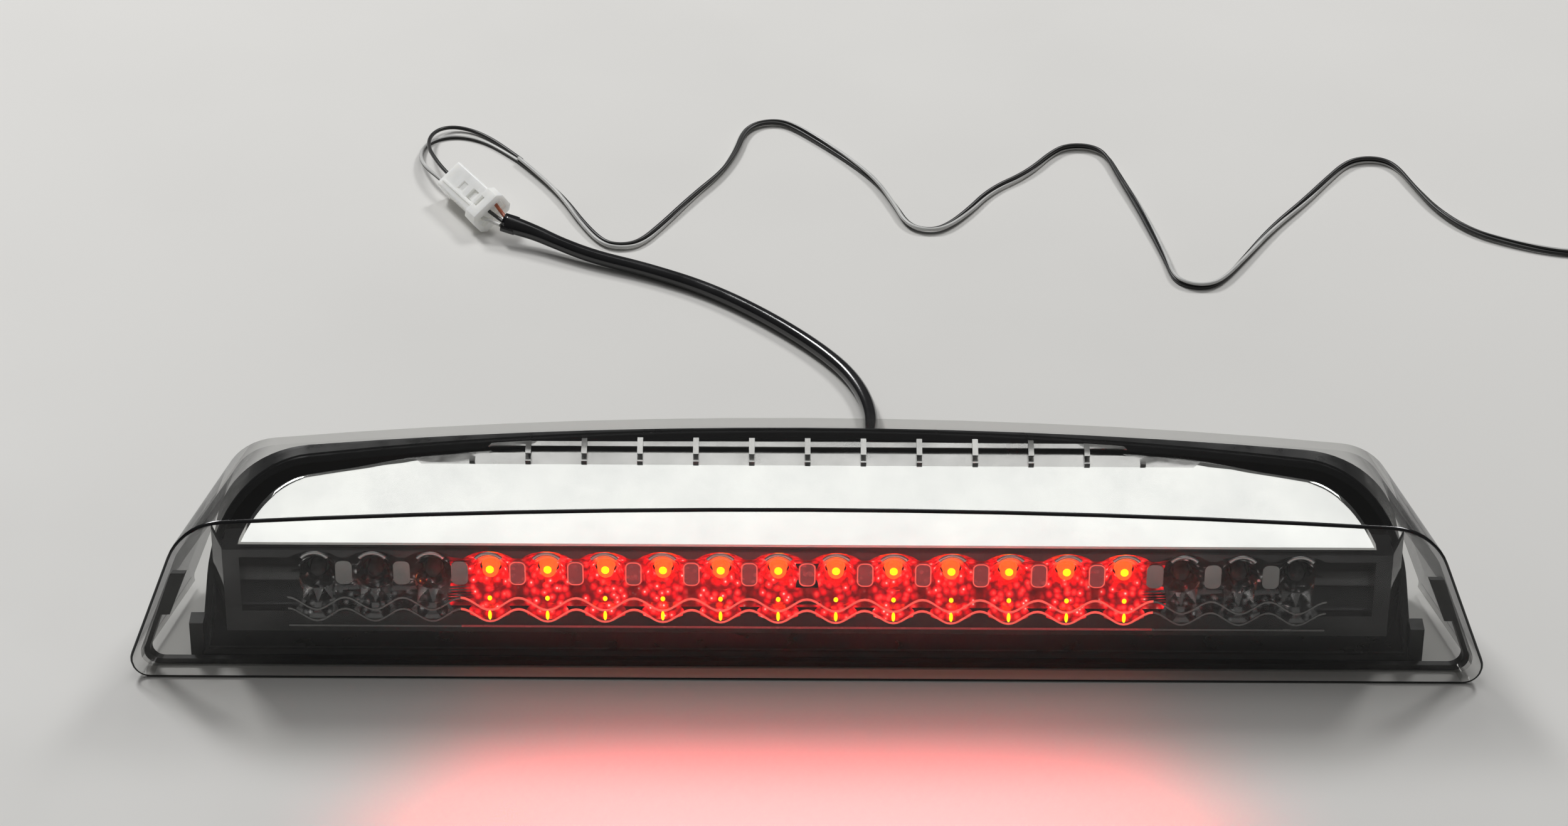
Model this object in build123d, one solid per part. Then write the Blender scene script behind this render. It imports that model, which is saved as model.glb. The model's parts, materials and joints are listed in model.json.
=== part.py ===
from build123d import *
import math
import os

# High-mounted brake lamp for the rear edge of a cab roof, with its harness.
# Millimetres. +X across the vehicle, -Y towards the viewer of the lens, +Z up.
# The origin is under the middle of the lamp, on the surface it stands on.

# ---- overall sizes ----
LENS_WIDTH = 415.0            # across the foot of the front face, corners square
LENS_HEIGHT = 57.4            # up the leaning front face, at its middle
LENS_DEPTH = 50.0             # foot of the front face to the rear edge
LENS_SIDE_TAPER = 12.5        # each side closes in by this from front to rear
LENS_REAR_RISE = 5.3          # rear edge above the length of the front face
LENS_LEAN = 8.0               # degrees that the front face leans back
LENS_SIDE_SLOPE = 0.385       # how fast the sides close in, per mm of height
LENS_WALL = 2.6
LENS_LIP = 2.4                # thickness of the foot of the lens
LENS_LIP_DEPTH = 7.0          # how far the foot runs back under the lamp
LENS_CORNER = 19.0
LENS_FOOT_CORNER = 6.0
FRONT_CROWN = 1.67e-4         # fall of the crease per mm of half width squared
REAR_CROWN = 3.05e-4          # the same, along the rear edge

HOUSING_SIDE_GAP = 10.4       # each side, inside the rear edge of the lens
HOUSING_SIDE_SLOPE = 0.08
HOUSING_WALL = 2.5
HOUSING_BACK = 3.0
HOUSING_CORNER = 34.0
HOUSING_FRONT = 12.0          # foot of the housing behind the foot of the lens
HOUSING_END_REACH = 3.0       # stepped flange at each end
HOUSING_END_HEIGHT = 11.8
HOUSING_END_DEPTH = 6.0
TOP_GAPS = 3                  # clearances between the lens and the housing's top
FIT_GAP = 0.3                 # between mouldings that sit inside each other
BEAD = 1.0                    # thickness of the sealant bead
BEAD_INSET = 0.4              # bead's edges, inside the rim's edges

SEAL_DEPTH = 2.2
SEAL_HEIGHT = 1.8
SEAL_TOP = 33.0               # where the wing seal ends at the housing

# ---- lights ----
CELLS = 18
CELL_PITCH = 17.45
LIT_CELLS = 12
CUP_HEIGHT = 27.0             # cup axis above the surface
CUP_MOUTH = 12.3              # radii of the cup, front to back
CUP_RING = 9.0
CUP_RING_DEPTH = 3.5          # behind the bezel's front
CUP_WAIST = 6.2               # where the facets end and the smooth bowl begins
CUP_WAIST_DEPTH = 6.8
CUP_THROAT_DEPTH = 9.8
CUP_THROAT_GAP = 0.8          # throat's corners, round the lamp
CUP_FACETS = 12
BEZEL_FRONT = 11.0            # behind the foot of the lens
BEZEL_THICK = 11.5
BEZEL_LOW = 10.0
BEZEL_HIGH = 39.4
BEZEL_END_GAP = 8.6           # bar's end to the housing's end
CHEEK_GAP = 1.6               # flared end sheet to the housing's wall
CHEEK_THICK = 2.0
CHEEK_FLARE = 12.0            # how far back the end sheet runs
TROUGH_END = 5.0              # bar left at each end of the trough
TROUGH_DEPTH = 7.0
TROUGH_HALF = 9.75
LED_RADIUS = 2.5
LED_FLANGE = 0.4              # flange beyond the body
LED_BODY = 3.2
LED_BASE = 1.0

BOARD_END_GAP = 11.0          # board's end inside the bezel's end
BOARD_HEIGHT = 20.0
BOARD_THICK = 1.6
BOARD_GAP = 1.5               # behind the bezel
RESISTOR = (3.2, 0.6, 1.6)    # width, depth, height of each chip
REGULATOR = (6.6, 2.3, 6.0)
REGULATOR_AT = (-87.0, -35.0, 87.0)
HEADER = (12.0, 7.0, 6.0)
HEADER_WALL = 1.0

REFLECTOR_SHEET = 1.6
LIP_BACK = 1.5                # reflector's lower edge behind the bezel's front
LIP_RISE = 1.8                # the same edge above the bezel
SHELF_DROP = 4.8              # shelf's rear edge below the housing's top
SHELF_GAP = 0.7               # shelf's rear edge to the housing's back
SHELF_RUN = (6.8, 2.8)        # smooth panel's end and the step, before that edge
SHELF_FALL = (2.2, 0.8)       # the same two, below that edge
REFLECTOR_SAG = 1.2
RIBS = 17
RIB_PITCH = 17.0
RIB_WIDTH = 1.7
RIB_HEIGHT = 1.2

# ---- rear side ----
STUD_RADIUS = 2.5
STUD_SPACING_X = 280.0
STUD_SPACING_Z = 22.0
STUD_LOW = 15.5
STUD_REACH = 16.0             # beyond the housing's back
STUD_HEAD = 2.5               # head beyond the shank
STUD_HEAD_THICK = 2.0
STUD_NECK = 0.5               # plain neck in the boss, beyond the threaded shank
BOSS_WALL = 5.0
BOSS_SEAT = 3.0               # solid end of the boss, behind the stud's head
BOSS_LENGTH = 8.0
RUN_GAP = 0.05                # radial clearance of a pin in its hole
GASKET_WIDTH = 6.0
GASKET_THICK = 3.0
GASKET_INSET = 4.0
GASKET_LOW = 2.0
VENT_X = -60.0
VENT_RADIUS = 6.0
VENT_NECK = 2.5
VENT_CAP = 4.0
GROMMET_NECK = 5.5
GROMMET_FLANGE = 2.5
GROMMET_WALL = 0.6            # round the cable, at the nose's tip
POST_WALL = 2.5
POST_BORE = 8.0
EXIT_X = 21.0
EXIT_Z = 26.0
SCREW_RADIUS = 1.5
SCREW_HEAD = 2.6
SCREW_HEAD_THICK = 1.3
SCREW_LENGTH = 7.0

# ---- harness ----
SHEATH = 5.0                  # diameter of the sheathed cable
WIRE = 1.4                    # diameter of one lead wire
TWIN = 2 * WIRE               # width of the two wires side by side
CONNECTOR_AT = (-114.0, 246.0, 7.1)   # middle of the mating line
CONNECTOR_TURN = 121.0        # degrees that its axis points away from +X
CONNECTOR_ROLL = 34.0         # degrees that it lies rolled about its axis
WAY_PITCH = 3.3
SHROUD = (23.0, 3 * WAY_PITCH + 1.5, 7.6)   # length, width, thickness
SHROUD_WALL = 1.0
SHROUD_END = 3.0
TONGUE_LENGTH = 17.0
COLLAR = (6.5, SHROUD[1] + 3.0, SHROUD[2] + 1.2)
COLLAR_CHAMFER = 1.8
WAY_GAP = 0.05                # round each wire in its way
PIN = 0.64
LATCH = (7.5, 3.6, 0.9)
LATCH_DROP = 0.9              # arm's underside below the tongue's face
COIL_MEAN = 32.0              # across the middle of the coil's turns
COIL_BUILD = 6.5              # radial depth of the coil
COIL_HEIGHT = 6.5
COIL_AT = (298.0, 213.0)
COIL_TIE = 1.0                # thickness of the strap
COIL_TIE_WIDTH = 4.0
STRIPPED_LENGTH = 7.0

# The lamp's own box runs from the foot of the lens to the tips of the studs.
LENS_REAR_WIDTH = LENS_WIDTH - 2 * LENS_SIDE_TAPER
LENS_REAR_HEIGHT = LENS_HEIGHT + LENS_REAR_RISE
HOUSING_WIDTH = LENS_REAR_WIDTH - 2 * HOUSING_SIDE_GAP
HOUSING_TOP = LENS_REAR_HEIGHT - LENS_WALL - TOP_GAPS * FIT_GAP
INNER_BACK = LENS_DEPTH - HOUSING_BACK
INNER_RUN = LENS_DEPTH - HOUSING_FRONT
BEZEL_WIDTH = HOUSING_WIDTH - 2 * BEZEL_END_GAP
BOARD_WIDTH = BEZEL_WIDTH - 2 * BOARD_END_GAP
CUP_THROAT = LED_RADIUS + CUP_THROAT_GAP
LAMP_DEPTH = LENS_DEPTH + STUD_REACH
FRONT_Y = -LAMP_DEPTH / 2
REAR_Y = FRONT_Y + LENS_DEPTH
LEAN = math.radians(LENS_LEAN)
BOARD_FRONT = BEZEL_FRONT + BEZEL_THICK + BOARD_GAP
BOARD_BACK = BOARD_FRONT + BOARD_THICK
SHELF_END = (INNER_BACK - SHELF_GAP, HOUSING_TOP - SHELF_DROP)
SHELF_STEP = (SHELF_END[0] - SHELF_RUN[1], SHELF_END[1] - SHELF_FALL[1])
REFLECTOR_TOP = (SHELF_END[0] - SHELF_RUN[0], SHELF_END[1] - SHELF_FALL[0])
REFLECTOR_LIP = (BEZEL_FRONT + LIP_BACK, BEZEL_HIGH + LIP_RISE)
RIM_LEAN = (LENS_REAR_HEIGHT - LENS_WALL) / INNER_RUN


def yz(point):
    """Depth behind the foot of the lens and height, as model Y and Z."""
    return (FRONT_Y + point[0], point[1])


def arch(plane, half, height, slope, crown, corner, foot_corner=0.0, foot=0.0):
    """Round-shouldered trapezoid with a crowned top, its foot on the plane's X axis."""
    side = half
    for _ in range(6):
        side = half - slope * (height - crown * side * side)
    shoulder = height - crown * side * side
    with BuildSketch(plane) as sketch:
        with BuildLine():
            Polyline((-side, shoulder), (-half + slope * foot, foot),
                     (half - slope * foot, foot), (side, shoulder))
            ThreePointArc((side, shoulder), (0, height), (-side, shoulder))
        make_face()
        corners = sketch.vertices().sort_by(lambda v: v.Y)
        fillet(corners[2:], corner)
        if foot_corner:
            low = sketch.vertices().sort_by(lambda v: v.Y)
            fillet(low[:2], foot_corner)
    return sketch.sketch.face()


def lens_body(inset, foot, rear_reach):
    """Tapered block of the lens, drawn in by the inset on every side."""
    front = Plane(origin=(0, FRONT_Y + inset / math.cos(LEAN), 0), x_dir=(1, 0, 0),
                  z_dir=(0, -math.cos(LEAN), math.sin(LEAN)))
    rear = Plane(origin=(0, REAR_Y + rear_reach, 0), x_dir=(1, 0, 0), z_dir=(0, -1, 0))
    side_inset = inset * 1.12
    near = arch(front, LENS_WIDTH / 2 - side_inset, LENS_HEIGHT - inset, LENS_SIDE_SLOPE,
                FRONT_CROWN, LENS_CORNER - inset, LENS_FOOT_CORNER - inset / 2, foot)
    far = arch(rear, LENS_REAR_WIDTH / 2 - side_inset, LENS_REAR_HEIGHT - inset,
               LENS_SIDE_SLOPE, REAR_CROWN, LENS_CORNER - inset,
               LENS_FOOT_CORNER - inset / 2, foot)
    return Solid.make_loft([near.outer_wire(), far.outer_wire()], True)


def block(x0, x1, depth0, depth1, z0, z1):
    """Box between two corners, its depth measured from the foot of the lens."""
    size = (x1 - x0, depth1 - depth0, z1 - z0)
    middle = ((x0 + x1) / 2, FRONT_Y + (depth0 + depth1) / 2, (z0 + z1) / 2)
    return Pos(*middle) * Box(*size)


def rod(x, z, depth0, depth1, radius):
    """Cylinder along Y."""
    middle = (x, FRONT_Y + (depth0 + depth1) / 2, z)
    return Pos(*middle) * Rot(90, 0, 0) * Cylinder(radius, depth1 - depth0)


def cone(x, z, depth0, depth1, radius0, radius1):
    """Cone along Y, from radius0 at depth0 to radius1 at depth1."""
    middle = (x, FRONT_Y + (depth0 + depth1) / 2, z)
    return Pos(*middle) * Rot(-90, 0, 0) * Cone(radius0, radius1, depth1 - depth0)


def make_lens():
    """Clear cover: front, sides and top, open behind and under."""
    shell = lens_body(0, 0, 0) - lens_body(LENS_WALL, LENS_LIP, 1)
    below = block(-LENS_WIDTH, LENS_WIDTH, LENS_LIP_DEPTH, LENS_DEPTH + 2, -2, LENS_LIP + 6)
    return shell - (lens_body(LENS_WALL, -1.5, 1) & below)


def housing_block(inset, depth0, depth1, foot=0.0):
    """Upright block of the housing's outline."""
    plane = Plane(origin=(0, FRONT_Y + depth1, 0), x_dir=(1, 0, 0), z_dir=(0, -1, 0))
    face = arch(plane, HOUSING_WIDTH / 2 - inset, HOUSING_TOP - inset, HOUSING_SIDE_SLOPE,
                REAR_CROWN, HOUSING_CORNER - inset, foot=foot)
    return extrude(face, depth1 - depth0)


def in_front_of_rim(offset):
    """Everything in front of the housing's sloping rim."""
    reach = 2 * LENS_REAR_HEIGHT
    low = yz((HOUSING_FRONT - offset, 0))
    high = yz((HOUSING_FRONT - offset + reach / RIM_LEAN, reach))
    with BuildSketch(Plane.YZ) as side:
        with BuildLine():
            Polyline(low, high, (low[0] - reach, reach), (low[0] - reach, -2),
                     (low[0] - 2 / RIM_LEAN, -2), close=True)
        make_face()
    return extrude(side.sketch, LENS_WIDTH, both=True)


def stud_places():
    return [(sx * STUD_SPACING_X / 2, STUD_LOW + row * STUD_SPACING_Z)
            for sx in (-1, 1) for row in (0, 1)]


def end_flanges():
    """Stepped blocks at the two ends of the housing's foot."""
    blocks = []
    for side in (-1, 1):
        inner = side * (HOUSING_WIDTH / 2 - HOUSING_WALL / 2)
        outer = side * (HOUSING_WIDTH / 2 + HOUSING_END_REACH)
        blocks.append(block(min(inner, outer), max(inner, outer), HOUSING_FRONT,
                            HOUSING_FRONT + HOUSING_END_DEPTH, 0, HOUSING_END_HEIGHT))
    return blocks


def make_housing():
    tub = housing_block(0, 0, LENS_DEPTH)
    tub -= housing_block(HOUSING_WALL, -1, INNER_BACK, foot=HOUSING_WALL)
    tub -= in_front_of_rim(0)
    for flange in end_flanges():
        tub += flange
    for x, z in stud_places():
        tub += rod(x, z, INNER_BACK - BOSS_LENGTH, LENS_DEPTH - HOUSING_BACK / 2,
                   STUD_RADIUS + BOSS_WALL)
    for x, z in stud_places():
        tub -= rod(x, z, 0, LENS_DEPTH + 1, STUD_RADIUS + STUD_NECK + RUN_GAP)
        tub -= rod(x, z, 0, INNER_BACK - BOSS_LENGTH + BOSS_SEAT,
                   STUD_RADIUS + STUD_HEAD + FIT_GAP)
    tub -= rod(EXIT_X, EXIT_Z, INNER_BACK - 1, LENS_DEPTH + 1, GROMMET_NECK)
    tub -= rod(VENT_X, EXIT_Z, INNER_BACK - 1, LENS_DEPTH + 1, VENT_NECK)
    for x in board_screw_places():
        tub += rod(x, CUP_HEIGHT, BOARD_BACK, LENS_DEPTH - HOUSING_BACK / 2,
                   SCREW_RADIUS + POST_WALL)
        tub -= rod(x, CUP_HEIGHT, BOARD_BACK - 1, BOARD_BACK + POST_BORE, SCREW_RADIUS)
    return tub


def board_screw_places():
    return [offset * CELL_PITCH for offset in (-8, -3, 3, 8)]


def make_bead():
    """Sealant bead on the housing's rim, against the lens."""
    ring = housing_block(BEAD_INSET, 0, LENS_DEPTH, foot=BEAD_INSET)
    inner = HOUSING_WALL - BEAD_INSET
    ring -= housing_block(inner, -1, LENS_DEPTH + 1, foot=inner)
    ring -= in_front_of_rim(BEAD)
    for flange in end_flanges():
        ring -= flange
    return ring & in_front_of_rim(0)


def make_wing_seal():
    """Rubber strip inside the foot and the wings of the lens."""
    depth = LENS_LIP_DEPTH + FIT_GAP
    outer = lens_body(LENS_WALL + FIT_GAP, 0.2, 0)
    inner = lens_body(LENS_WALL + FIT_GAP + SEAL_HEIGHT, 0.2 + SEAL_HEIGHT, 1)
    ring = outer - inner - Pos(0, -(depth + SEAL_DEPTH), 0) * inner
    slab = block(-LENS_WIDTH, LENS_WIDTH, depth, depth + SEAL_DEPTH, 0, SEAL_TOP)
    return ring & slab


def cell_places():
    return [(index - (CELLS - 1) / 2) * CELL_PITCH for index in range(CELLS)]


def facet_band(x):
    """Band of alternating triangles between the cup's ring and its waist."""
    near = FRONT_Y + BEZEL_FRONT + CUP_RING_DEPTH
    far = FRONT_Y + BEZEL_FRONT + CUP_WAIST_DEPTH
    step = 2 * math.pi / CUP_FACETS
    ring = [(x + CUP_RING * math.sin(n * step), near, CUP_HEIGHT + CUP_RING * math.cos(n * step))
            for n in range(CUP_FACETS)]
    waist = [(x + CUP_WAIST * math.sin((n + 0.5) * step), far,
              CUP_HEIGHT + CUP_WAIST * math.cos((n + 0.5) * step))
             for n in range(CUP_FACETS)]
    faces = [Face(Wire.make_polygon(ring)), Face(Wire.make_polygon(waist))]
    for n in range(CUP_FACETS):
        after = (n + 1) % CUP_FACETS
        faces.append(Face(Wire.make_polygon([ring[n], ring[after], waist[n]])))
        faces.append(Face(Wire.make_polygon([waist[n], waist[after], ring[after]])))
    return Solid(Shell(faces))


def make_bezel():
    """Smoked chrome bar: a long trough with a faceted cup bored at every lamp."""
    bar = block(-BEZEL_WIDTH / 2, BEZEL_WIDTH / 2, BEZEL_FRONT, BEZEL_FRONT + BEZEL_THICK,
                BEZEL_LOW, BEZEL_HIGH)
    trough_radius = (TROUGH_HALF ** 2 + TROUGH_DEPTH ** 2) / (2 * TROUGH_DEPTH)
    trough_axis = (0, FRONT_Y + BEZEL_FRONT + TROUGH_DEPTH - trough_radius, CUP_HEIGHT)
    trough = Pos(*trough_axis) * Rot(0, 90, 0) * Cylinder(trough_radius,
                                                           BEZEL_WIDTH - 2 * TROUGH_END)
    bar -= trough
    mouth = CUP_MOUTH + (CUP_MOUTH - CUP_RING) / CUP_RING_DEPTH
    for x in cell_places():
        bar -= cone(x, CUP_HEIGHT, BEZEL_FRONT - 1, BEZEL_FRONT + CUP_RING_DEPTH,
                    mouth, CUP_RING)
        bar -= facet_band(x)
        bar -= cone(x, CUP_HEIGHT, BEZEL_FRONT + CUP_WAIST_DEPTH - 0.1,
                    BEZEL_FRONT + CUP_THROAT_DEPTH,
                    CUP_WAIST * math.cos(math.pi / CUP_FACETS) - 0.1, CUP_THROAT)
        bar -= rod(x, CUP_HEIGHT, BEZEL_FRONT + CUP_RING_DEPTH, BEZEL_FRONT + BEZEL_THICK + 1,
                   CUP_THROAT)
    for side in (-1, 1):
        with BuildSketch(Plane.XY.offset(BEZEL_LOW)) as cheek:
            with BuildLine():
                edge = side * (BEZEL_WIDTH / 2 - 0.2)
                out = side * (HOUSING_WIDTH / 2 - HOUSING_WALL - CHEEK_GAP)
                front = FRONT_Y + BEZEL_FRONT
                Polyline((edge, front), (edge, front + CHEEK_THICK),
                         (out, front + CHEEK_FLARE + CHEEK_THICK),
                         (out, front + CHEEK_FLARE), close=True)
            make_face()
        bar += extrude(cheek.sketch, BEZEL_HIGH - BEZEL_LOW)
    return bar


def reflector_line(drop):
    """Side view of the reflector sheet, lowered by the drop."""
    lip = REFLECTOR_LIP
    top = REFLECTOR_TOP
    sag_point = ((lip[0] + top[0]) / 2, (lip[1] + top[1]) / 2 - REFLECTOR_SAG)
    points = [(p[0], p[1] - drop) for p in (lip, sag_point, top, SHELF_STEP, SHELF_END)]
    return [yz(p) for p in points]


def make_reflector():
    """Bright reflector: a hollow panel and a ribbed shelf behind it."""
    upper = reflector_line(0)
    lower = reflector_line(REFLECTOR_SHEET)
    with BuildSketch(Plane.YZ) as side:
        with BuildLine():
            ThreePointArc(upper[0], upper[1], upper[2])
            Polyline(upper[2], upper[3], upper[4], lower[4], lower[3], lower[2])
            ThreePointArc(lower[2], lower[1], lower[0])
            Line(lower[0], upper[0])
        make_face()
    reach = HOUSING_WIDTH / 2
    sheet = extrude(side.sketch, reach, both=True)
    run = SHELF_END[0] - REFLECTOR_TOP[0] - 0.4
    rise = math.degrees(math.atan2(SHELF_END[1] - REFLECTOR_TOP[1],
                                   SHELF_END[0] - REFLECTOR_TOP[0]))
    for index in range(RIBS):
        x = (index - (RIBS - 1) / 2) * RIB_PITCH
        middle = ((REFLECTOR_TOP[0] + SHELF_END[0]) / 2, (REFLECTOR_TOP[1] + SHELF_END[1]) / 2)
        y, z = yz(middle)
        sheet += Pos(x, y, z) * Rot(rise, 0, 0) * Box(RIB_WIDTH, run, 2 * RIB_HEIGHT)
    room = housing_block(HOUSING_WALL + FIT_GAP, 0, INNER_BACK - FIT_GAP, foot=HOUSING_WALL)
    sheet = sheet & room
    return sheet & lens_body(LENS_WALL + FIT_GAP, LENS_LIP, 0)


def make_board():
    plate = block(-BOARD_WIDTH / 2, BOARD_WIDTH / 2, BOARD_FRONT, BOARD_FRONT + BOARD_THICK,
                  CUP_HEIGHT - BOARD_HEIGHT / 2, CUP_HEIGHT + BOARD_HEIGHT / 2)
    for x in board_screw_places():
        plate -= rod(x, CUP_HEIGHT, 0, LENS_DEPTH, SCREW_RADIUS + RUN_GAP)
    return plate


def led(x):
    """One domed lamp, standing on the board and reaching into its cup."""
    base = BOARD_FRONT - LED_BASE
    body = rod(x, CUP_HEIGHT, base, BOARD_FRONT, LED_RADIUS + LED_FLANGE)
    body += rod(x, CUP_HEIGHT, base - LED_BODY, base, LED_RADIUS)
    tip = Pos(x, FRONT_Y + base - LED_BODY, CUP_HEIGHT) * Sphere(LED_RADIUS)
    return body + tip


def make_leds(lit):
    first = (CELLS - LIT_CELLS) // 2
    chosen = [x for n, x in enumerate(cell_places())
              if (first <= n < first + LIT_CELLS) == lit]
    return Compound(children=[led(x) for x in chosen])


def make_resistors():
    width, depth, height = RESISTOR
    low = CUP_HEIGHT + 5.5
    spare = (CELLS - LIT_CELLS) // 2
    chips = [block(x - width / 2, x + width / 2, BOARD_BACK, BOARD_BACK + depth, low, low + height)
             for x in cell_places()[spare:spare + LIT_CELLS]]
    return Compound(children=chips)


def make_regulators():
    width, depth, height = REGULATOR
    low = CUP_HEIGHT - 8.5
    blocks = [block(x - width / 2, x + width / 2, BOARD_BACK, BOARD_BACK + depth, low, low + height)
              for x in REGULATOR_AT]
    return Compound(children=blocks)


def make_header():
    width, depth, height = HEADER
    low = CUP_HEIGHT - 5 - height / 2
    shell = block(EXIT_X - width / 2, EXIT_X + width / 2, BOARD_BACK, BOARD_BACK + depth,
                  low, low + height)
    room = width / 2 - HEADER_WALL
    shell -= block(EXIT_X - room, EXIT_X + room, BOARD_BACK + 1.5, BOARD_BACK + depth + 1,
                   low + HEADER_WALL, low + height - HEADER_WALL)
    return shell


def make_board_screws():
    screws = []
    for x in board_screw_places():
        shank = rod(x, CUP_HEIGHT, BOARD_FRONT, BOARD_FRONT + SCREW_LENGTH,
                    SCREW_RADIUS - RUN_GAP)
        head = rod(x, CUP_HEIGHT, BOARD_FRONT - SCREW_HEAD_THICK, BOARD_FRONT, SCREW_HEAD)
        screws.append(shank + head)
    return Compound(children=screws)


def make_inner_wires():
    """Three wires inside the housing, from the grommet to the board."""
    back = BOARD_BACK + HEADER[1]
    end = INNER_BACK - 1.5
    wires = []
    for lane in (-1, 0, 1):
        x = EXIT_X + lane * 3.0
        path = FilletPolyline((x, FRONT_Y + back, CUP_HEIGHT - 5),
                              (x, FRONT_Y + back + 3.2, CUP_HEIGHT - 5),
                              (x, FRONT_Y + end - 3.0, EXIT_Z),
                              (x, FRONT_Y + end, EXIT_Z), radius=2.5)
        section = Plane(origin=path @ 0, z_dir=path % 0) * Circle(WIRE / 2)
        wires.append(sweep(section, path=path))
    return Compound(children=wires)


def make_grommet():
    """Rubber grommet with a tapered nose that the cable comes out of."""
    body = rod(EXIT_X, EXIT_Z, INNER_BACK - 1.5, INNER_BACK, GROMMET_NECK + 1.5)
    body += rod(EXIT_X, EXIT_Z, INNER_BACK, LENS_DEPTH, GROMMET_NECK)
    body += rod(EXIT_X, EXIT_Z, LENS_DEPTH, LENS_DEPTH + GROMMET_FLANGE,
                GROMMET_NECK + GROMMET_FLANGE)
    body += cone(EXIT_X, EXIT_Z, LENS_DEPTH + GROMMET_FLANGE, LAMP_DEPTH,
                 GROMMET_NECK + 0.1, SHEATH / 2 + GROMMET_WALL)
    return body


def make_vent():
    body = rod(VENT_X, EXIT_Z, INNER_BACK, LENS_DEPTH, VENT_NECK)
    cap = rod(VENT_X, EXIT_Z, LENS_DEPTH, LENS_DEPTH + VENT_CAP, VENT_RADIUS)
    return body + cap


def make_gasket():
    plane = Plane(origin=(0, REAR_Y, 0), x_dir=(1, 0, 0), z_dir=(0, -1, 0))
    outer = arch(plane, HOUSING_WIDTH / 2 - GASKET_INSET, HOUSING_TOP - GASKET_INSET,
                 HOUSING_SIDE_SLOPE, REAR_CROWN, HOUSING_CORNER - GASKET_INSET,
                 foot=GASKET_LOW)
    inset = GASKET_INSET + GASKET_WIDTH
    inner = arch(plane, HOUSING_WIDTH / 2 - inset, HOUSING_TOP - inset, HOUSING_SIDE_SLOPE,
                 REAR_CROWN, HOUSING_CORNER - inset, foot=GASKET_LOW + GASKET_WIDTH)
    return extrude(outer, -GASKET_THICK) - extrude(inner, -GASKET_THICK)


def make_studs():
    seat = INNER_BACK - BOSS_LENGTH + BOSS_SEAT
    studs = []
    for x, z in stud_places():
        shank = rod(x, z, LENS_DEPTH, LENS_DEPTH + STUD_REACH, STUD_RADIUS)
        shank += rod(x, z, seat, LENS_DEPTH, STUD_RADIUS + STUD_NECK)
        shank += rod(x, z, seat - STUD_HEAD_THICK, seat, STUD_RADIUS + STUD_HEAD)
        studs.append(shank)
    return Compound(children=studs)


# ---- connector, drawn along its own axis and then laid on the surface ----
def laid_plane():
    turn = math.radians(CONNECTOR_TURN)
    roll = math.radians(CONNECTOR_ROLL)
    axis = (math.cos(turn), math.sin(turn), 0)
    normal = (-math.sin(roll) * axis[1], math.sin(roll) * axis[0], math.cos(roll))
    return Plane(origin=CONNECTOR_AT, x_dir=axis, z_dir=normal)


LAID = laid_plane()


def bar(x0, x1, y0, y1, z0, z1):
    """Box in the connector's own axes."""
    middle = ((x0 + x1) / 2, (y0 + y1) / 2, (z0 + z1) / 2)
    return Pos(*middle) * Box(x1 - x0, y1 - y0, z1 - z0)


def lay(shape):
    """Puts a piece drawn in the connector's axes where it lies."""
    return LAID.location * shape


def make_shroud():
    """Outer half of the connector, on the lead."""
    length, width, thick = SHROUD
    shell = bar(0, length, -width / 2, width / 2, -thick / 2, thick / 2)
    shell = fillet(shell.edges().filter_by(Axis.X), 0.8)
    room_y = width / 2 - SHROUD_WALL
    room_z = thick / 2 - SHROUD_WALL
    shell -= bar(-1, length - SHROUD_END, -room_y, room_y, -room_z, room_z)
    for lane in (0, 1):
        hole = Cylinder(WIRE / 2 + WAY_GAP, 2 * SHROUD_END)
        shell -= Pos(length, lane * WAY_PITCH, 0) * Rot(0, 90, 0) * hole
    shell -= bar(2.2, 6.2, -LATCH[1] / 2 - FIT_GAP, LATCH[1] / 2 + FIT_GAP, 0, thick)
    shell += bar(0.4, length - 1.2, width / 2 - 3.1, width / 2 - 2.3, thick / 2 - 0.3,
                 thick / 2 + 0.5)
    shell -= bar(9.5, 13.0, -1.7, 1.7, thick / 2 - 0.5, thick)
    return lay(shell)


def make_plug():
    """Inner half of the connector, on the lamp's cable, with its collar."""
    length, width, thick = COLLAR
    body = bar(-length, 0, -width / 2, width / 2, -thick / 2, thick / 2)
    body = chamfer(body.edges().filter_by(Axis.X), COLLAR_CHAMFER)
    mouth = width / 2 - COLLAR_CHAMFER
    body -= bar(-length - 1, -length + 2.0, -mouth, mouth, -2.0, 2.0)
    tongue_y = SHROUD[1] / 2 - SHROUD_WALL - FIT_GAP
    tongue_z = SHROUD[2] / 2 - SHROUD_WALL - FIT_GAP
    body += bar(-0.5, TONGUE_LENGTH, -tongue_y, tongue_y, -tongue_z, tongue_z)
    slot = LATCH[1] / 2 + FIT_GAP
    body -= bar(-2.6, 9.0, -slot, slot, tongue_z - 1.6, thick)
    way = WIRE / 2 + WAY_GAP
    for lane in (-1, 0, 1):
        body -= bar(-length - 1, TONGUE_LENGTH + 1, lane * WAY_PITCH - way,
                    lane * WAY_PITCH + way, -way, way)
    return lay(body)


def make_latch():
    """Springy tongue with a hook that catches in the outer half's window."""
    base = SHROUD[2] / 2 - SHROUD_WALL - FIT_GAP - LATCH_DROP
    length, width, thick = LATCH
    arm = bar(-0.6, length - 0.6, -width / 2, width / 2, base, base + thick)
    hook = bar(2.8, 5.0, -width / 2, width / 2, base + thick - 0.2, base + thick + 0.2)
    return lay(arm + hook)


def make_plug_terminals():
    blades = [bar(-COLLAR[0] + 2.5, TONGUE_LENGTH - 1, lane * WAY_PITCH - PIN / 2,
                  lane * WAY_PITCH + PIN / 2, -PIN / 2, PIN / 2) for lane in (-1, 0, 1)]
    return lay(Compound(children=blades))


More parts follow.
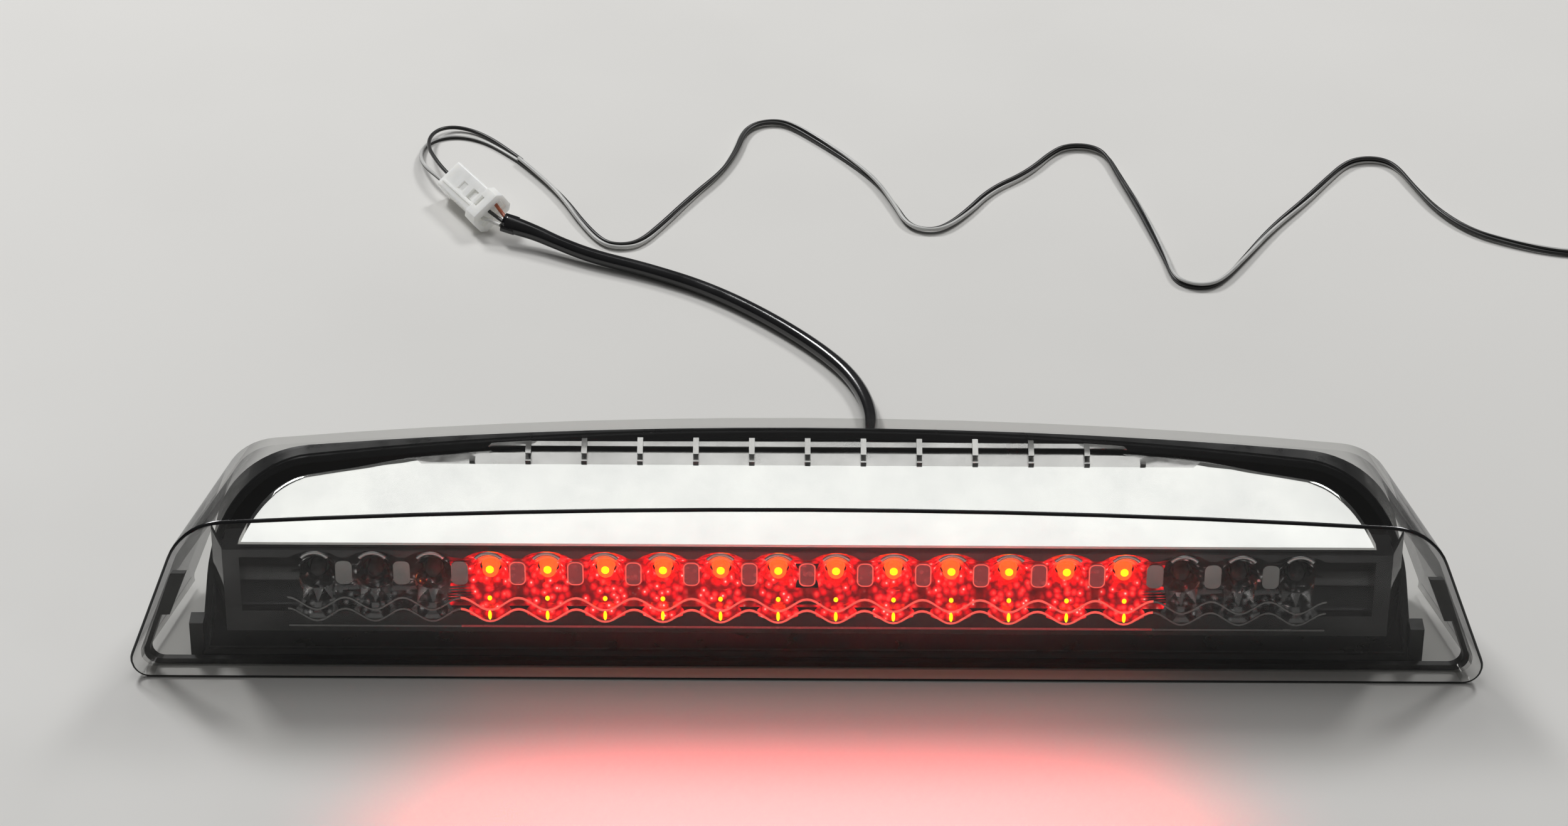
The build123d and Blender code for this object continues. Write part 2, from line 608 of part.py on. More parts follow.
def make_shroud_terminals():
    start = TONGUE_LENGTH + 0.6
    pins = [bar(start, SHROUD[0] - 1.0, lane * WAY_PITCH - PIN / 2,
                lane * WAY_PITCH + PIN / 2, -PIN / 2, PIN / 2) for lane in (0, 1)]
    return lay(Compound(children=pins))


def connector_point(x, y, z=0.0):
    """A point in the connector's axes, where it lies."""
    return tuple(LAID.from_local_coords(Vector(x, y, z)))


# ---- cords ----
def cord_radii(points):
    """Largest tangent arc that each corner's two runs allow."""
    radii = []
    for before, here, after in zip(points, points[1:], points[2:]):
        run_in = Vector(*here) - Vector(*before)
        run_out = Vector(*after) - Vector(*here)
        turn = math.radians(run_in.get_angle(run_out))
        shorter = min(run_in.length, run_out.length)
        radii.append(0.45 * shorter / math.tan(turn / 2))
    return radii


def cord_tube(name, points, diameter):
    radii = cord_radii(points)
    path = FilletPolyline(*points, radius=radii)
    section = Plane(origin=path @ 0, z_dir=path % 0) * Circle(diameter / 2)
    tube = sweep(section, path=path)
    share = tube.volume / (math.pi * diameter ** 2 / 4 * path.length)
    print(name, "length", round(path.length, 1), "volume share", round(share, 4),
          "radii", [round(r) for r in radii])
    return tube


SHEATH_END = (-106.2, 234.6, 7.0)
SHEATH_ROUTE = [
    (EXIT_X, FRONT_Y + LAMP_DEPTH, EXIT_Z), (EXIT_X, 45.0, EXIT_Z), (20.6, 61.0, 20.5),
    (20.2, 79.0, 10.5), (20.9, 98.0, 4.0), (21.5, 118.0, 2.6), (15.8, 138.5, 2.7),
    (4.5, 157.0, 2.6), (-13.0, 177.5, 2.7), (-33.0, 196.0, 2.6), (-54.0, 208.5, 2.8),
    (-74.0, 217.0, 3.3), (-86.5, 224.4, 4.4), (-96.5, 230.8, 5.8), SHEATH_END]
BLACK_TAIL_ROUTE = [
    connector_point(SHROUD[0] + 1.0, 0), connector_point(SHROUD[0] + 7.5, 0),
    (-134.0, 283.0, 6.4), (-136.3, 291.3, 5.2), (-137.1, 299.2, 4.0), (-136.3, 306.3, 3.0),
    (-133.6, 311.9, 2.2), (-128.9, 314.7, 1.5), (-122.9, 313.3, 1.1), (-116.9, 308.9, 0.9),
    (-110.4, 301.6, 0.8), (-102.9, 291.2, 0.8)]
STRIPED_TAIL_ROUTE = [
    connector_point(SHROUD[0] + 1.0, WAY_PITCH), connector_point(SHROUD[0] + 6.5, WAY_PITCH),
    (-136.0, 277.9, 4.2), (-138.7, 285.7, 3.1), (-139.6, 292.8, 2.0), (-138.9, 299.9, 1.1),
    (-135.9, 305.5, 0.75), (-130.6, 308.5, 0.8), (-124.4, 308.4, 0.75), (-118.0, 305.3, 0.8),
    (-111.4, 299.4, 0.75), (-103.5, 289.7, 0.8)]
TWIN_ROUTE = [
    (-103.9, 290.1, 1.45), (-95.0, 277.2, 1.45), (-86.5, 262.3, 1.5), (-78.8, 243.6, 1.45),
    (-71.4, 230.0, 1.45), (-64.8, 227.4, 1.5), (-58.0, 230.0, 1.45), (-50.8, 242.4, 1.45),
    (-40.2, 263.8, 1.5), (-30.6, 281.0, 1.45), (-25.2, 297.0, 1.45), (-22.6, 312.0, 1.5),
    (-18.0, 318.6, 1.45), (-10.9, 320.6, 1.45), (-4.6, 317.4, 1.45), (6.0, 304.5, 1.5),
    (17.2, 289.4, 1.45), (26.0, 274.6, 1.45), (31.8, 258.4, 1.5), (36.0, 244.6, 1.45),
    (41.9, 240.4, 1.45), (48.9, 241.6, 1.5), (57.5, 253.0, 1.45), (66.5, 269.4, 1.45),
    (80.1, 281.4, 1.5), (90.9, 299.2, 1.45), (97.4, 302.7, 1.45), (104.4, 301.8, 1.5),
    (109.4, 296.8, 1.45), (113.2, 280.0, 1.45), (118.8, 257.5, 1.5), (123.2, 236.0, 1.45),
    (126.0, 221.0, 1.45), (127.9, 207.6, 1.5), (132.8, 202.6, 1.45), (139.5, 202.0, 1.45),
    (145.1, 206.8, 1.5), (153.4, 221.6, 1.45), (165.0, 243.0, 1.45), (178.5, 262.4, 1.5),
    (188.0, 278.0, 1.45), (195.6, 289.8, 1.45), (202.0, 293.6, 1.5), (209.1, 293.2, 1.45),
    (214.2, 288.2, 1.45), (219.0, 273.4, 1.5), (225.4, 256.0, 1.45), (235.6, 241.2, 1.45),
    (249.2, 233.0, 1.5), (262.0, 227.6, 1.45), (273.6, 226.0, 1.45), (282.0, 228.0, 1.5),
    (289.4, 230.4, 1.6)]


def make_lead_coil():
    """Rolled-up rest of the lead, as one solid of its outer shape."""
    middle = Pos(COIL_AT[0], COIL_AT[1], COIL_HEIGHT / 2 + COIL_TIE + FIT_GAP)
    outer = Cylinder((COIL_MEAN + COIL_BUILD) / 2, COIL_HEIGHT)
    inner = Cylinder((COIL_MEAN - COIL_BUILD) / 2, COIL_HEIGHT)
    return middle * (outer - inner)


def make_stripped_ends():
    """Tinned ends of the two wires, beside the coil."""
    y = COIL_AT[1] - (COIL_MEAN + COIL_BUILD) / 2 - STRIPPED_LENGTH - 0.5
    tips = [Pos(COIL_AT[0] + side * 1.6, y, WIRE / 2) * Rot(90, 0, 0)
            * Cylinder(WIRE * 0.32, STRIPPED_LENGTH) for side in (-1, 1)]
    return Compound(children=tips)


def make_coil_tie():
    """Flat strap closed round one side of the coil."""
    width = COIL_BUILD + 2 * FIT_GAP
    height = COIL_HEIGHT + FIT_GAP
    strap = Box(width + 2 * COIL_TIE, COIL_TIE_WIDTH, height + 2 * COIL_TIE)
    strap -= Box(width, COIL_TIE_WIDTH + 1, height)
    middle = COIL_HEIGHT / 2 + COIL_TIE + FIT_GAP
    return Pos(COIL_AT[0] + COIL_MEAN / 2, COIL_AT[1], middle) * strap


def make_harness_wires():
    wires = []
    for lane in (-1, 0, 1):
        start = tuple(Vector(*SHEATH_END) + LAID.y_dir * lane * 1.5)
        end = connector_point(-COLLAR[0] + 2.0, lane * WAY_PITCH)
        line = Line(start, end)
        section = Plane(origin=start, z_dir=line % 0) * Circle(WIRE / 2 - WAY_GAP)
        wires.append(sweep(section, path=line))
    return Compound(children=wires)


def build_all():
    return {
        "outer_lens": make_lens(),
        "rear_housing": make_housing(),
        "lens_sealant_bead": make_bead(),
        "wing_seal": make_wing_seal(),
        "led_bezel": make_bezel(),
        "top_reflector": make_reflector(),
        "circuit_board": make_board(),
        "brake_leds": make_leds(True),
        "end_leds": make_leds(False),
        "resistors": make_resistors(),
        "regulators": make_regulators(),
        "board_header": make_header(),
        "board_screws": make_board_screws(),
        "inner_wires": make_inner_wires(),
        "cable_grommet": make_grommet(),
        "vent_cap": make_vent(),
        "rear_gasket": make_gasket(),
        "mounting_studs": make_studs(),
        "harness_sheath": cord_tube("sheath", SHEATH_ROUTE, SHEATH),
        "harness_wires": make_harness_wires(),
        "plug_housing": make_plug(),
        "plug_terminals": make_plug_terminals(),
        "latch_tongue": make_latch(),
        "shroud_housing": make_shroud(),
        "shroud_terminals": make_shroud_terminals(),
        "black_tail": cord_tube("black tail", BLACK_TAIL_ROUTE, WIRE),
        "striped_tail": cord_tube("striped tail", STRIPED_TAIL_ROUTE, WIRE),
        "twin_lead": cord_tube("twin lead", TWIN_ROUTE, TWIN),
        "lead_coil": make_lead_coil(),
        "coil_tie": make_coil_tie(),
        "stripped_ends": make_stripped_ends(),
    }


os.makedirs("parts", exist_ok=True)
for node, shape in build_all().items():
    export_step(shape, f"parts/{node}.step")
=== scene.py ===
import json
import math

import bmesh
import bpy
from mathutils import Matrix, Vector

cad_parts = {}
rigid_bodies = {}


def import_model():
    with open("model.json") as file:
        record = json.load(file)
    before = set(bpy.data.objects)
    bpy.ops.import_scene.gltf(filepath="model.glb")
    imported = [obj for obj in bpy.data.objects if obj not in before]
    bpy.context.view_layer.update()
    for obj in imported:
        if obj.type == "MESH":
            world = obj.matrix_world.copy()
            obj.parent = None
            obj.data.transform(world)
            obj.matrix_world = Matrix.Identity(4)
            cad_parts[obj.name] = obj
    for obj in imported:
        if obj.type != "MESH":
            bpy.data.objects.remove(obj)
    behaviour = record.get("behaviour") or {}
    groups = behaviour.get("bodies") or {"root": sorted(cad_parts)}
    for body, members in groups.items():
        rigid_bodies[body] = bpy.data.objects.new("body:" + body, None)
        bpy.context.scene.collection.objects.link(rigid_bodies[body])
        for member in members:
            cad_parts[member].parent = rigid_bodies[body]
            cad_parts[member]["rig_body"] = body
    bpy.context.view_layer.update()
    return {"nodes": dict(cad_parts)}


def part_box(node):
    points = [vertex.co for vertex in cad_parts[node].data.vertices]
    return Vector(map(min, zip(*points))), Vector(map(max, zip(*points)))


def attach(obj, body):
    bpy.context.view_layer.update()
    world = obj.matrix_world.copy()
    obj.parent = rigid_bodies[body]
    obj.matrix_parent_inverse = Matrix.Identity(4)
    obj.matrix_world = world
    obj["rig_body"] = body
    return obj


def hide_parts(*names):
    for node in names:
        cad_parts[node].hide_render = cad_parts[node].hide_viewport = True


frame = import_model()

# Third brake light: smoked cover, chrome inside, lit row of lamps, and its harness.
# Metres. +X across the vehicle, -Y towards the viewer of the lens, +Z up.

MM = 0.001
LENS_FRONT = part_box("outer_lens")[0].y
BEZEL_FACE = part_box("led_bezel")[0].y
REFLECTOR_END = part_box("top_reflector")[1].x
COIL_LOW, COIL_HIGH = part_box("lead_coil")
COIL_MIDDLE = (COIL_LOW + COIL_HIGH) / 2
LAMP_BODY = frame["nodes"]["led_bezel"]["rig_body"]

LENS_LEAN = math.radians(8.0)
CREASE_WIDTH = 1.25 * MM
CELLS = 18
LIT_CELLS = 12
CELL_PITCH = 17.45 * MM
CUP_HEIGHT = 27.0 * MM
CUP_MOUTH = 12.3 * MM
CUP_WAIST = 5.9 * MM
# Height in a lit cup where its painted glow is hottest.
PAINTED_GLOW_HEIGHT = 31.0 * MM
# A fan of painted highlight blades low in the dark cups.
HIGHLIGHT_FAN_SPAN_DEGREES = 62
HIGHLIGHT_FAN_BLADE_DEGREES = 15
RIB_MARGIN = 12 * MM
SHELF_FRONT = LENS_FRONT + 39.4 * MM
SHELF_LOW = 52.0 * MM
SHELF_TOP = 53.5 * MM
HEM_SHIFT = Vector((0, 1.2, 2.0)) * MM
HEM_THICKNESS = 0.4 * MM
BROW_RADIUS = 5.6 * MM
BROW_BAR = 0.6 * MM
BROW_TOP = 39.1 * MM
BROW_SPAN = math.radians(100)
WEB_WIDTH = 5.0 * MM
WEB_LOW = 27.4 * MM
WEB_HIGH = 35.8 * MM
WEB_THICKNESS = 0.5 * MM
WEB_CORNER = 1.9 * MM
WEB_RIM = 0.4 * MM
LIP_HEIGHTS_AND_SWINGS = ((20.2 * MM, 2.2 * MM), (16.1 * MM, 2.2 * MM), (12.1 * MM, 0.0))
LIP_HALF_HEIGHT = 0.32 * MM
LIP_THICKNESS = 0.35 * MM
LIP_STEPS_PER_CELL = 14
# In mm: depth behind the lens's front, height, half width and half height of each hot spot: the chip
# first, then two painted reflections of it in the lips below.
CHIP_AND_REFLECTION_SPOTS = ((16.2, 29.2, 1.25, 1.35), (12.4, 21.4, 0.7, 0.8), (10.6, 16.4, 0.55, 1.7))

SHEATH = 5.0 * MM
SHEATH_WALL = 0.55 * MM
SHEATH_MOUTH = 5 * MM
PRESSED_LENGTH = 24 * MM
PRESSED_WIDER = 0.38
PRESSED_THINNER = 0.18
WIRE = 1.4 * MM
TWIN = 2 * WIRE
BOND = 0.96
TWIST_PITCH = 240 * MM
COIL_TURNS = 3.2
COIL_START = math.radians(104)
POINTS_PER_TURN = 14
LANE_STEP = 2.9 * MM
COIL_RISE = 3.2 * MM

CONNECTOR_AT = Vector((-114.0, 246.0, 7.1)) * MM
CONNECTOR_TURN = math.radians(121.0)
CONNECTOR_ROLL = math.radians(34.0)
WAY_PITCH = 3.3 * MM

CAMERA_PLACE = (-0.00726, -1.16427, 0.80258)
CAMERA_TILT = math.radians(90 - 32)
CAMERA_ROLL = math.radians(0.3)
CAMERA_FOCAL_LENGTH = 105.0
STUDIO_AIM = (0.0, 0.1, 0.0)
SKY_STRENGTH = 0.36

MERGE_DISTANCE = 1e-6
FRONT_MATCH = 0.9995
SAME_FACE = math.radians(0.02)
SHARP_EDGE = math.radians(40)


# ---------- materials ----------
class Finish:
    """One node material: a Principled shader and a few nodes that feed it."""

    def __init__(self, name, **sockets):
        self.material = bpy.data.materials.new(name)
        self.material.use_nodes = True
        self.tree = self.material.node_tree
        self.shader = self.tree.nodes["Principled BSDF"]
        self.output = self.tree.nodes["Material Output"]
        self.place = self.node("ShaderNodeTexCoord").outputs["Object"]
        for socket, value in sockets.items():
            self.shader.inputs[socket.replace("_", " ")].default_value = value

    def node(self, kind, **settings):
        made = self.tree.nodes.new(kind)
        for key, value in settings.items():
            setattr(made, key, value)
        return made

    def join(self, output, socket):
        self.tree.links.new(output, socket)

    def noise(self, scale, detail=3.0, rough=0.55):
        made = self.node("ShaderNodeTexNoise")
        made.inputs["Scale"].default_value = scale
        made.inputs["Detail"].default_value = detail
        made.inputs["Roughness"].default_value = rough
        self.join(self.place, made.inputs["Vector"])
        return made.outputs["Fac"]

    def cells(self, scale):
        made = self.node("ShaderNodeTexVoronoi")
        made.inputs["Scale"].default_value = scale
        self.join(self.place, made.inputs["Vector"])
        return made.outputs["Distance"]

    def ramp(self, factor, *stops):
        made = self.node("ShaderNodeValToRGB")
        band = made.color_ramp
        while len(band.elements) < len(stops):
            band.elements.new(0.5)
        for element, (where, colour) in zip(band.elements, stops):
            element.position = where
            element.color = (*colour, 1.0)
        self.join(factor, made.inputs["Fac"])
        return made.outputs["Color"]

    def spread(self, factor, low, high):
        """Stretches the middle of a noise over a range of values."""
        made = self.node("ShaderNodeMapRange")
        made.inputs["From Min"].default_value = 0.3
        made.inputs["From Max"].default_value = 0.7
        made.inputs["To Min"].default_value = low
        made.inputs["To Max"].default_value = high
        self.join(factor, made.inputs["Value"])
        return made.outputs["Result"]

    def reckon(self, operation, first, second, third=None):
        made = self.node("ShaderNodeMath", operation=operation)
        for socket, value in zip(made.inputs, (first, second, third)):
            if isinstance(value, (int, float)):
                socket.default_value = value
            elif value:
                self.join(value, socket)
        return made.outputs["Value"]

    def blend(self, share, base, over, kind="MIX"):
        made = self.node("ShaderNodeMixRGB", blend_type=kind)
        for socket, value in zip(made.inputs, (share, base, over)):
            if isinstance(value, float):
                socket.default_value = value
            elif isinstance(value, tuple):
                socket.default_value = (*value, 1.0)
            else:
                self.join(value, socket)
        return made.outputs["Color"]

    def colour(self, factor, *stops):
        self.join(self.ramp(factor, *stops), self.shader.inputs["Base Color"])

    def rough(self, factor, low, high):
        self.join(self.spread(factor, low, high), self.shader.inputs["Roughness"])

    def bump(self, factor, distance, strength=0.4):
        made = self.node("ShaderNodeBump")
        made.inputs["Strength"].default_value = strength
        made.inputs["Distance"].default_value = distance
        self.join(factor, made.inputs["Height"])
        self.join(made.outputs["Normal"], self.shader.inputs["Normal"])


def moulded(name, dark, light, rough, grain=900, depth=0.04 * MM, **sockets):
    """Moulded plastic or rubber with a fine grain."""
    finish = Finish(name, **sockets)
    finish.colour(finish.noise(grain / 12), (0.3, dark), (0.7, light))
    finish.rough(finish.noise(grain / 6), *rough)
    finish.bump(finish.noise(grain), depth)
    return finish.material


def bright(name, dark, light, rough, waviness):
    """Vacuum-plated plastic: a mirror with faint waves left by the mould."""
    finish = Finish(name, Metallic=1.0)
    finish.colour(finish.noise(40), (0.35, dark), (0.65, light))
    finish.rough(finish.noise(120), *rough)
    finish.bump(finish.noise(28, detail=1.0), waviness, strength=0.25)
    return finish.material


def faceted(name, dark, light, **sockets):
    """Plated plastic pressed into small facets, a bump that catches separate glints, with light and dark
    cells painted into its colour as painted glints.
    """
    finish = Finish(name, **sockets)
    finish.colour(finish.cells(500), (0.1, light), (0.5, dark))
    finish.rough(finish.noise(200), 0.04, 0.12)
    finish.bump(finish.cells(380), 0.8 * MM, strength=0.8)
    return finish.material


def clear_cover():
    """Lightly smoked acrylic: darker, and glossier, where the sight line runs along the wall."""
    finish = Finish("smoked_acrylic")
    slant = finish.node("ShaderNodeLayerWeight")
    slant.inputs["Blend"].default_value = 0.5
    facing = slant.outputs["Facing"]
    through = finish.node("ShaderNodeBsdfTransparent")
    tint = finish.ramp(facing, (0.0, (0.90, 0.90, 0.895)), (0.4, (0.865, 0.865, 0.86)),
                       (0.75, (0.58, 0.58, 0.58)), (1.0, (0.25, 0.25, 0.26)))
    finish.join(tint, through.inputs["Color"])
    mirror = finish.node("ShaderNodeBsdfGlossy")
    finish.join(finish.spread(finish.noise(90), 0.015, 0.05), mirror.inputs["Roughness"])
    gloss = finish.ramp(facing, (0.0, (0.022,) * 3), (0.5, (0.045,) * 3), (0.75, (0.17,) * 3),
                        (0.9, (0.42,) * 3), (1.0, (0.9,) * 3))
    mix = finish.node("ShaderNodeMixShader")
    finish.join(gloss, mix.inputs["Fac"])
    finish.join(through.outputs["BSDF"], mix.inputs[1])
    finish.join(mirror.outputs["BSDF"], mix.inputs[2])
    finish.join(mix.outputs["Shader"], finish.output.inputs["Surface"])
    finish.tree.nodes.remove(finish.shader)
    return finish.material


def painted_glow_cup():
    """Plated cup with its lamp's red light painted in as emission: a painted pool hottest round the lamp,
    painted glints, and painted shade dark at the webs.
    """
    finish = Finish("painted_red_glow_cup", Metallic=0.6)
    split = finish.node("ShaderNodeSeparateXYZ")
    finish.join(finish.place, split.inputs["Vector"])
    half = CELL_PITCH / 2
    across = finish.reckon("WRAP", finish.reckon("SUBTRACT", split.outputs["X"], half), half, -half)
    rise = finish.reckon("SUBTRACT", split.outputs["Z"], PAINTED_GLOW_HEIGHT)
    wide = finish.reckon("POWER", finish.reckon("DIVIDE", across, 3.9 * MM), 2.0)
    tall = finish.reckon("POWER", finish.reckon("DIVIDE", rise, 3.4 * MM), 2.0)
    # Painted pool of light, hottest round the lamp.
    near = finish.ramp(finish.reckon("ADD", wide, tall), (0.45, (1, 1, 1)), (1.0, (0, 0, 0)))
    # Painted glints in the red light.
    glints = finish.ramp(finish.cells(460), (0.05, (1.0, 0.66, 0.6)), (0.17, (1.0, 0.06, 0.05)),
                         (0.42, (0.72, 0.0, 0.006)), (0.72, (0.10, 0.0, 0.002)))
    hot = finish.blend(near, glints, (1.0, 0.085, 0.03))
    # Painted shade towards the webs between cups.
    web = finish.ramp(finish.reckon("ABSOLUTE", finish.reckon("DIVIDE", across, half), 0.0),
                      (0.66, (1, 1, 1)), (0.9, (0.10, 0.06, 0.06)))
    # Painted shade at the top and bottom of the cup.
    low = finish.ramp(finish.reckon("DIVIDE", split.outputs["Z"], 40 * MM), (0.30, (0.22, 0.1, 0.1)),
                      (0.42, (1, 1, 1)), (0.86, (1, 1, 1)), (0.93, (0.12, 0.05, 0.05)))
    glow = finish.blend(1.0, finish.blend(1.0, hot, web, "MULTIPLY"), low, "MULTIPLY")
    finish.join(glow, finish.shader.inputs["Emission Color"])
    finish.shader.inputs["Emission Strength"].default_value = 1.5
    # The red base colour is a painted reflection of the lamp's light.
    finish.colour(finish.noise(500), (0.35, (0.25, 0.0, 0.004)), (0.65, (0.7, 0.02, 0.02)))
    finish.rough(finish.noise(300), 0.05, 0.2)
    finish.bump(finish.cells(420), 0.5 * MM, strength=0.6)
    return finish.material


def glowing(name, grain, dark, light, rough, glow):
    """Part of a lamp that is switched on, and the painted reflections of a lamp's chip."""
    finish = Finish(name)
    finish.colour(finish.noise(grain), (0.3, dark), (0.7, light))
    finish.rough(finish.noise(300), *rough)
    finish.shader.inputs["Emission Color"].default_value = (*glow, 1.0)
    finish.shader.inputs["Emission Strength"].default_value = 2.2
    return finish.material


def clear_lamp():
    """Water-clear epoxy lamp that is off, over a dark pocket."""
    finish = Finish("clear_lamp", IOR=1.5)
    finish.colour(finish.noise(500), (0.3, (0.05, 0.045, 0.05)), (0.7, (0.09, 0.085, 0.09)))
    finish.rough(finish.noise(400), 0.03, 0.12)
    return finish.material


def nylon():
    """Natural nylon: milky, with faint flow marks, and a faint painted glow."""
    finish = Finish("natural_nylon_painted_glow", IOR=1.53)
    finish.shader.inputs["Subsurface Weight"].default_value = 0.7
    finish.shader.inputs["Subsurface Radius"].default_value = (1.0, 0.95, 0.85)
    finish.shader.inputs["Subsurface Scale"].default_value = 5.0 * MM
    # Painted glow: a faint emission stands in for light coming through the back-lit nylon.
    finish.shader.inputs["Emission Color"].default_value = (0.9, 0.9, 0.86, 1.0)
    finish.shader.inputs["Emission Strength"].default_value = 0.08
    finish.colour(finish.noise(160), (0.3, (0.84, 0.84, 0.81)), (0.7, (0.94, 0.94, 0.91)))
    finish.rough(finish.noise(220), 0.32, 0.5)
    finish.bump(finish.noise(1400), 0.03 * MM)
    return finish.material


ACRYLIC = clear_cover()
# Painted shade: the dark line along the crease of the clear cover.
CREASE_SHADE = moulded("crease_shadow", (0.006, 0.006, 0.007), (0.015, 0.015, 0.016), (0.1, 0.2))
BLACK_PLASTIC = moulded("black_plastic", (0.008, 0.008, 0.009), (0.018, 0.018, 0.02), (0.25, 0.42),
                        Coat_Weight=0.2)
BEAD_RUBBER = moulded("black_sealant", (0.003, 0.003, 0.004), (0.01, 0.01, 0.011), (0.12, 0.25))
SEAL_RUBBER = moulded("seal_rubber", (0.004, 0.004, 0.005), (0.014, 0.014, 0.015), (0.3, 0.5))
FOAM = moulded("closed_cell_foam", (0.02, 0.02, 0.021), (0.05, 0.05, 0.052), (0.8, 0.95),
               grain=2600, depth=0.3 * MM)
CHROME = bright("bright_chrome", (0.86, 0.87, 0.86), (0.95, 0.96, 0.94), (0.04, 0.10), 0.6 * MM)
BROW_CHROME = bright("brow_chrome", (0.92, 0.92, 0.92), (0.98, 0.98, 0.98), (0.32, 0.45), 0.2 * MM)
SMOKE_CHROME = bright("smoked_chrome", (0.06, 0.06, 0.063), (0.11, 0.11, 0.113), (0.03, 0.09), 0.4 * MM)
SHELF_CHROME = bright("shelf_chrome", (0.58, 0.58, 0.57), (0.72, 0.72, 0.71), (0.16, 0.28), 0.3 * MM)
# A lighter copy of the smoked chrome: painted highlight on the bezel's webs, lips and fan blades.
HIGHLIGHT_CHROME = bright("painted_highlight_chrome", (0.42, 0.42, 0.42), (0.55, 0.55, 0.55), (0.15, 0.3), 0.3 * MM)
# The light cells of the dark cups are painted glints.
DARK_CUP = faceted("dark_cup", (0.05, 0.05, 0.052), (0.85, 0.85, 0.86), Metallic=1.0)
# Red emission on plated parts that are no lamps: painted red glow from the lit lamps beside them.
RED_GLOW_WEB = faceted("painted_red_glow_web", (0.10, 0.02, 0.02), (0.30, 0.08, 0.08), Metallic=0.7,
                  Emission_Color=(0.30, 0.05, 0.05, 1.0), Emission_Strength=0.8)
RED_GLOW_RIM = faceted("painted_red_glow_rim", (0.5, 0.05, 0.04), (0.9, 0.12, 0.1), Metallic=0.5,
                  Emission_Color=(1.0, 0.13, 0.10, 1.0), Emission_Strength=1.0)
# Painted red glow of the lamps in the plated cups.
PAINTED_GLOW_CUP = painted_glow_cup()
LIT_LAMP = glowing("lit_lamp", 600, (0.9, 0.1, 0.02), (1.0, 0.25, 0.05), (0.12, 0.3), (1.0, 0.07, 0.01))
# Also used for the painted reflections of the chips in the lips below.
CHIP_AND_REFLECTION_GLOW = glowing("chip_and_painted_reflection_glow", 900, (1.0, 0.7, 0.02), (1.0, 0.85, 0.1), (0.2, 0.4), (1.0, 0.72, 0.0))
CLEAR_LAMP = clear_lamp()
BOARD_GREEN = moulded("solder_mask", (0.004, 0.03, 0.012), (0.008, 0.05, 0.02), (0.25, 0.4))
CHIP_BLACK = moulded("chip_epoxy", (0.01, 0.01, 0.01), (0.03, 0.03, 0.03), (0.4, 0.6))
STEEL = bright("zinc_steel", (0.5, 0.5, 0.48), (0.7, 0.7, 0.67), (0.2, 0.4), 0.1 * MM)
TIN = bright("tinned_copper", (0.55, 0.54, 0.5), (0.75, 0.73, 0.68), (0.2, 0.4), 0.1 * MM)
SHEATH_VINYL = moulded("black_vinyl", (0.004, 0.004, 0.005), (0.012, 0.012, 0.013), (0.12, 0.26),
                       grain=500, depth=0.05 * MM, Coat_Weight=0.4, Coat_Roughness=0.1)
WIRE_BLACK, WIRE_STRIPE, WIRE_BROWN, WIRE_WHITE = [
    moulded(name, dark, light, (0.3, 0.45), grain=700) for name, dark, light in (
        ("wire_black", (0.012, 0.012, 0.012), (0.03, 0.03, 0.029)),
        ("wire_grey", (0.5, 0.5, 0.49), (0.68, 0.68, 0.66)),
        ("wire_orange_brown", (0.30, 0.055, 0.02), (0.45, 0.10, 0.035)),
        ("wire_white", (0.6, 0.6, 0.58), (0.78, 0.78, 0.75)))]
NYLON_PAINTED_GLOW = nylon()
TIE_VINYL = moulded("tie_vinyl", (0.01, 0.01, 0.01), (0.03, 0.03, 0.03), (0.3, 0.5))


# ---------- mesh helpers ----------
def piece(name, bm, body, *materials):
    """Finishes a bmesh as an object at the origin, riding on its body."""
    mesh = bpy.data.meshes.new(name)
    bm.to_mesh(mesh)
    bm.free()
    for material in materials:
        mesh.materials.append(material)
    made = bpy.data.objects.new(name, mesh)
    bpy.context.scene.collection.objects.link(made)
    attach(made, body)
    return made


def smooth(bm, limit=32):
    """Shades smooth, with edges sharper than the limit in degrees kept crisp."""
    for face in bm.faces:
        face.smooth = True
    for edge in bm.edges:
        edge.smooth = edge.calc_face_angle(0.0) < math.radians(limit)


def merged(node):
    """A merged copy of a CAD node's mesh, to finish and show in its place."""
    bm = bmesh.new()
    bm.from_mesh(frame["nodes"][node].data)
    bmesh.ops.remove_doubles(bm, verts=bm.verts, dist=MERGE_DISTANCE)
    return bm


def body_of_node(node):
    return frame["nodes"][node]["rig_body"]


def finished_copy(node, *materials, rounding=0.0, limit=32, mark=None):
    """The node with crisp edges, smooth curves and a small rounding on its edges."""
    bm = merged(node)
    bmesh.ops.dissolve_limit(bm, angle_limit=SAME_FACE, verts=bm.verts, edges=bm.edges)
    if mark:
        mark(bm)
    smooth(bm, limit)
    made = piece(node + "_finish", bm, body_of_node(node), *materials)
    if rounding:
        edge = made.modifiers.new("rounding", "BEVEL")
        edge.width = rounding
        edge.segments = 2
        edge.limit_method = "ANGLE"
        edge.angle_limit = SHARP_EDGE
    made.modifiers.new("even_shading", "WEIGHTED_NORMAL").keep_sharp = True
    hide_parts(node)
    return made


def faces_of(vertices):
    """The faces that use any of the vertices, each once and in order."""
    return list(dict.fromkeys(face for vertex in vertices for face in vertex.link_faces))


def cell_places():
    """The x of every cup's axis."""
    return [(index - (CELLS - 1) / 2) * CELL_PITCH for index in range(CELLS)]


def is_lit(x):
    return abs(x) < LIT_CELLS / 2 * CELL_PITCH


